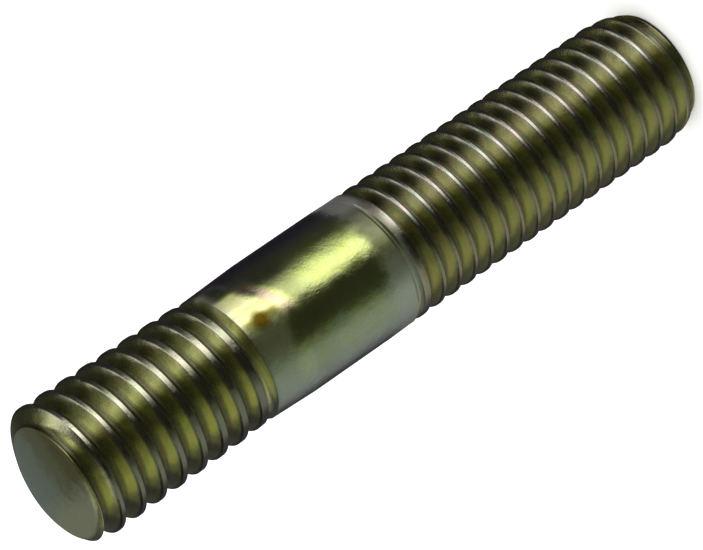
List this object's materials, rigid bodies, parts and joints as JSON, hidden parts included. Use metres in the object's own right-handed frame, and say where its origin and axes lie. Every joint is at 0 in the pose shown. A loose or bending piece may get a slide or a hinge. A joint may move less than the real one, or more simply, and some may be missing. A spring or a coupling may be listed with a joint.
{
  "type": "double ended stud",
  "caption": "Steel stud with a coarse thread on its metal end, a plain body, and a longer fine thread on its nut end, in iridescent yellow zinc.",
  "frame": {"origin": "centre of the nut end's flat end face, which the stud stands on", "axes": "+Z along the stud's axis, from the nut end to the metal end; X and Y are square to it and have no feature on them"},
  "size_m": [0.0082, 0.0082, 0.0434],
  "materials": {
    "zinc_plated_steel": "yellow zinc passivate over steel, satin on the threads and brighter on the body"
  },
  "bodies": {
    "root": {"stud": "zinc_plated_steel"}
  },
  "joints": []
}
